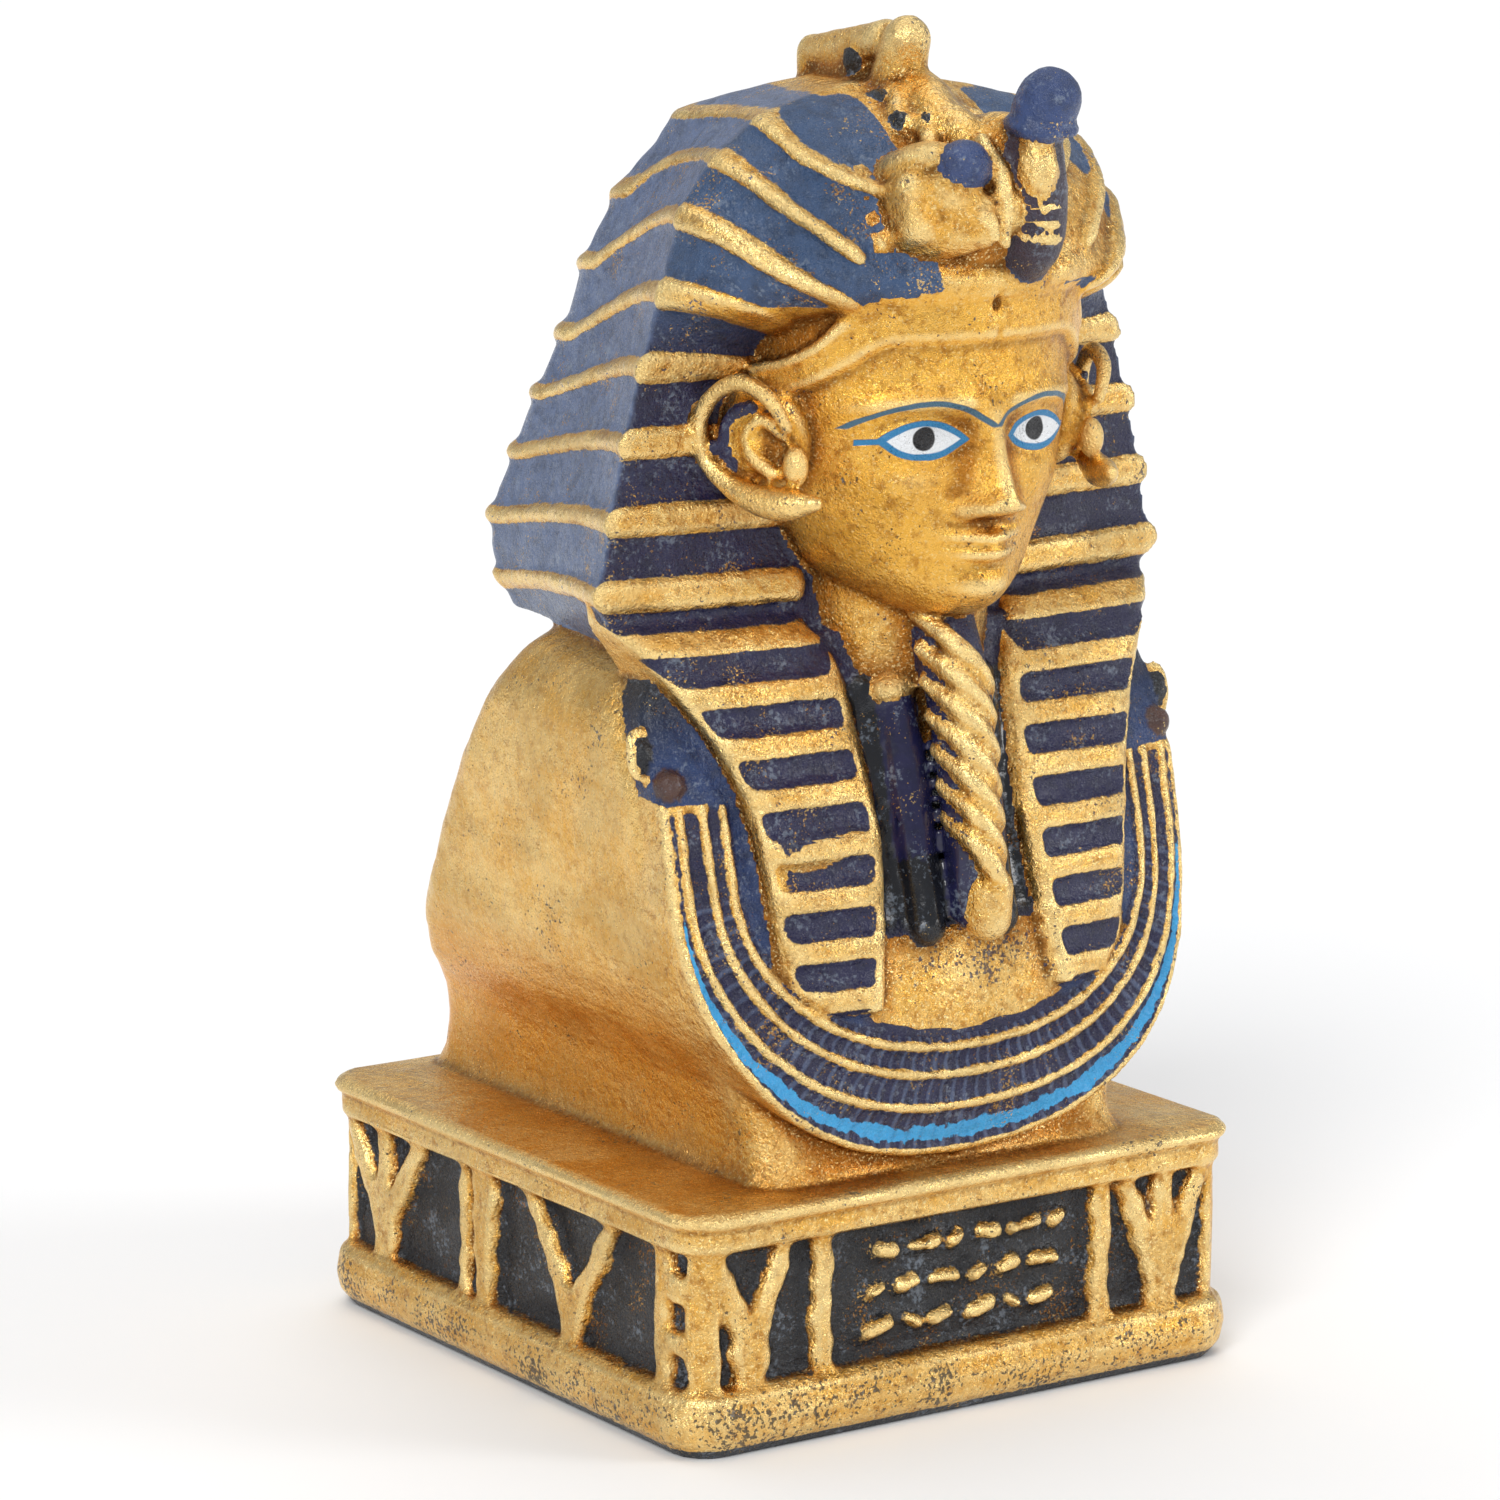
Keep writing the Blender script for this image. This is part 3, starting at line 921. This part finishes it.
# The eyes are painted by hand: a blue line round white, with a dark iris, and a thin
# grey-blue line along each brow.
def reach(u, v):
    """Distance from a point on the face seen from the front."""
    return ((across - u) * (across - u) + (up - v) * (up - v)).math("SQRT")


EYE_WHITE, IRIS = (0.80, 0.82, 0.84), (0.012, 0.012, 0.014)
EYE_BLUE, BROW_BLUE = (0.02, 0.20, 0.42), (0.055, 0.135, 0.20)
LIFT = EYE_ARC - EYE_HIGH
in_front = (-20.0 - depth).step(0.0, 1.0)
inside_eye = EYE_ARC - reach(EYE_X, EYE_Z - LIFT).math("MAXIMUM", reach(EYE_X, EYE_Z + LIFT))
tail = 0.26 - (up - EYE_Z + (across - EYE_X - EYE_LONG) * 0.10).math("ABSOLUTE")
tail_run = (across - EYE_X - EYE_LONG * 0.7).math("MINIMUM", EYE_X + EYE_LONG + 1.5 - across)
tail = tail.math("MINIMUM", tail_run)
white = (inside_eye - 0.02).step(0.0, 0.10) * in_front
liner = (inside_eye + 0.42).math("MAXIMUM", tail).step(0.0, 0.10) * in_front
iris = (0.93 - reach(EYE_X - 0.1, EYE_Z + 0.1)).step(0.0, 0.12) * white
BROW_ARC, BROW_Z = 7.2, CHIN + (HAIRLINE - CHIN) * 0.705
brow = 0.24 - (reach(EYE_X, BROW_Z - BROW_ARC) - BROW_ARC).math("ABSOLUTE")
brow = brow.step(0.0, 0.12) * in_front * (up - BROW_Z + 1.9).step(0.0, 0.2)
painted = liner.math("MAXIMUM", brow)
face_paint = between(EYE_BLUE, BROW_BLUE, brow).blend(EYE_WHITE, white).blend(IRIS, iris)

# Where the gold holds: its edge is ragged, dust lies in patches and close to it, and pits
# stay dark, most of all on the foot band and the chest, where hands and cloths rub.
ragged = (grain(1.4, 3.0, 0.6) - 0.5) * 0.42 + (grain(0.3, 2.0, 0.6, 3.0) - 0.5) * 0.22
mask = (inside_gold + ragged).step(-0.04, 0.05) * (1 - painted)
patches = grain(3.2, 2.0, 0.55, 9.0)
near_gold = (inside_gold + 1.3).step(0.0, 1.3)
dust = (grain(0.17, 1.0, 0.5, 7.0) + patches * 0.9 + near_gold * 0.06 - 1.19).step(0.0, 0.05)
handled = (6.0 - up).step(0.0, 3.5)
chest = (37.5 - up).step(0.0, 2.0) * (up - 30.0).step(0.0, 3.0) * (9.0 - across).step(0.0, 2.0) * in_front
pit = grain(0.33, 2.0, 0.6, 13.0) + grain(4.0, 2.0, 0.5, 21.0) * 0.6 + handled * 0.11 + chest * 0.10
pit = pit.step(0.985, 1.03)
shine = (mask * (1 - pit * 0.85)).math("MAXIMUM", dust * 0.7)

# The dark paint: each form's own colour, thin and sooty in places and scuffed pale in
# others, with fine beads across the collar's bands and light blue along one of them.
SOOT, SCUFF, BEAD_BLUE = (0.004, 0.005, 0.010), (0.30, 0.36, 0.44), (0.11, 0.15, 0.26)
SKY_DEEP, SKY_BRIGHT = (0.030, 0.25, 0.56), (0.055, 0.42, 0.76)
BEADS_ROUND, BEADS_CENTRE = 120.0, 44.0
beads = (sideways.math("ARCTAN2", up - BEADS_CENTRE) * BEADS_ROUND).math("SINE")
beads = beads * (42.0 - up).step(0.0, 4.0) * (inside_sky + 2.6).step(0.0, 0.2)
scuff = (grain(0.35, 3.0, 0.7, 37.0) + grain(2.6, 2.0, 0.5, 39.0) * 0.7 - 0.92).step(0.0, 0.16)
blue_edge = inside_sky + (grain(0.7, 3.0, 0.6, 28.0) - 0.5) * 1.1 + (grain(2.6, 2.0, 0.5, 27.0) - 0.5) * 1.5
dark = base_paint.blend(SOOT, (grain(1.1, 3.0, 0.6, 31.0) - 0.35).step(0.0, 0.5) * 0.6)
dark = dark.blend(SCUFF, scuff * 0.36)
dark = dark.blend(BEAD_BLUE, (beads + (grain(0.9, 2.0, 0.5, 33.0) - 0.5) * 2.0).step(0.2, 1.2) * 0.5)
dark = dark.blend(between(SKY_DEEP, SKY_BRIGHT, grain(0.8, 3.0, 0.6, 29.0)), blue_edge.step(-0.03, 0.06))

# Parts with a look of their own: the orange foot of the bust, the plain sides and back,
# the glossy rolls under the chin, and the polished face.
flank = (35.0 - up).step(0.0, 8.0) * (up - 18.2).step(0.0, 2.0) * (depth + 20.0).step(0.0, 6.0)
slab_top = (19.0 - up).step(0.0, 0.8)
plain = (57.0 - up).step(0.0, 2.0) * (up - 16.5).step(0.0, 1.0)
plain = plain * slab_top.math("MAXIMUM", (depth + 20.0).step(0.0, 6.0))
rolls = (54.0 - up).step(0.0, 1.0) * (up - 36.0).step(0.0, 1.0) * (6.6 - across).step(0.0, 0.4)
rolls = rolls * (-18.5 - depth).step(0.0, 1.0) * (1 - mask)
rich = (up - 57.0).step(0.0, 3.0) * (84.0 - up).step(0.0, 3.0) * (-15.0 - depth).step(0.0, 3.0)

# The gold itself: pale and warm patches, duller grains, brown in the hollows, rubbed
# bright along the ridges, with small glints.
PALE_GOLD, WARM_GOLD, FACE_GOLD = (0.86, 0.57, 0.20), (0.78, 0.42, 0.080), (0.86, 0.45, 0.060)
ORANGE_GOLD, DULL_GOLD, SHADED_GOLD = (0.84, 0.36, 0.030), (0.42, 0.17, 0.022), (0.45, 0.16, 0.016)
HOLLOW_BROWN, RUBBED_GOLD, GLINT = (0.20, 0.080, 0.015), (1.0, 0.78, 0.36), (1.0, 0.82, 0.40)
hue = (grain(5.0, 3.0, 0.55, 41.0) + grain(0.7, 2.0, 0.6, 42.0) * 0.5).step(0.55, 0.95)
dull = (grain(0.9, 4.0, 0.7, 44.0) - 0.48).step(0.0, 0.18)
shaded = (deep + (grain(1.6, 3.0, 0.6, 58.0) - 0.5) * 0.35).step(0.0, 0.40)
hollows = (sunk + (grain(0.5, 3.0, 0.6, 57.0) - 0.5) * 0.06).step(0.012, 0.08)
glints = (grain(0.2, 2.0, 0.6, 43.0) - 0.54).step(0.0, 0.14)
leaf = between(PALE_GOLD, WARM_GOLD, hue).blend(FACE_GOLD, rich * 0.75)
leaf = leaf.blend(ORANGE_GOLD, flank * (0.65 + (grain(3.0, 3.0, 0.6, 46.0) - 0.5) * 1.2))
leaf = leaf.blend(DULL_GOLD, dull * (0.75 - plain * 0.4)).blend(SHADED_GOLD, shaded * (0.9 - plain * 0.65))
leaf = leaf.blend(HOLLOW_BROWN, hollows * 0.85).blend(RUBBED_GOLD, (0.0 - sunk).step(0.012, 0.07) * 0.6)
leaf = leaf.blend(GLINT, glints * (0.75 - rich * 0.35 - plain * 0.3))
colour = dark.blend(leaf, shine).blend(face_paint, painted)

# Brushed and rubbed paint is never quite smooth: fine grain, brush ridges, and a small
# step where the gold lies over the dark paint.
coarse = grain(6.0, 2.0, 0.5, 45.0).step(0.4, 0.65)
rough = 0.25 + (grain(0.35, 2.0, 0.6, 47.0) - 0.5) * 0.30 + coarse * 0.05 - rolls * 0.12
heights = grain(0.2, 3.0, 0.65, 51.0) * (0.6 + 1.1 * coarse) * (1 - rolls * 0.9)
heights = heights + grain(0.8, 3.0, 0.6, 53.0) * (1.9 - rich * 0.9 - plain * 0.7 - rolls * 1.6)
heights = heights + shine * 0.25 + beads * (1 - mask) * 0.5
bumps = start.node("ShaderNodeBump", Strength=0.9, Distance=0.00016, Height=heights)
nodes.links.new(colour.socket, shader.inputs["Base Color"])
nodes.links.new((shine * 0.92).socket, shader.inputs["Metallic"])
nodes.links.new(rough.socket, shader.inputs["Roughness"])
nodes.links.new(bumps.socket, shader.inputs["Normal"])
shader.inputs["IOR"].default_value = 1.5
cast_mesh.materials.clear()
cast_mesh.materials.append(material)


# The floor and the studio: a white sweep, a large soft light from the left and front,
# and a weaker one from the right, as in a plain product picture.
floor_mesh = bpy.data.meshes.new("floor")
floor_mesh.from_pydata([(-3, -3, 0), (3, -3, 0), (3, 3, 0), (-3, 3, 0)], [], [(0, 1, 2, 3)])
floor = bpy.data.objects.new("floor", floor_mesh)
bpy.context.scene.collection.objects.link(floor)
paper = bpy.data.materials.new("floor_paper")
paper.use_nodes = True
paper.node_tree.nodes["Principled BSDF"].inputs["Base Color"].default_value = (1.0, 1.0, 1.0, 1)
paper.node_tree.nodes["Principled BSDF"].inputs["Roughness"].default_value = 0.9
floor_mesh.materials.append(paper)


def lamp(name, place, power, spread):
    light = bpy.data.lights.new(name, "SUN")
    light.energy, light.angle = power, math.radians(spread)
    made = bpy.data.objects.new(name, light)
    made.rotation_euler = Vector(place).to_track_quat("Z", "Y").to_euler()
    bpy.context.scene.collection.objects.link(made)


lamp("key", (-0.75, -0.60, 0.75), 1.45, 24)
lamp("side", (0.85, -0.75, 0.45), 0.85, 20)
lamp("top", (0.15, 0.35, 1.0), 0.75, 50)
world = bpy.data.worlds.new("studio")
world.use_nodes = True
world.node_tree.nodes["Background"].inputs["Color"].default_value = (0.97, 0.98, 1.0, 1)
world.node_tree.nodes["Background"].inputs["Strength"].default_value = 0.46
bpy.context.scene.world = world
bpy.context.scene.view_settings.view_transform = "Standard"
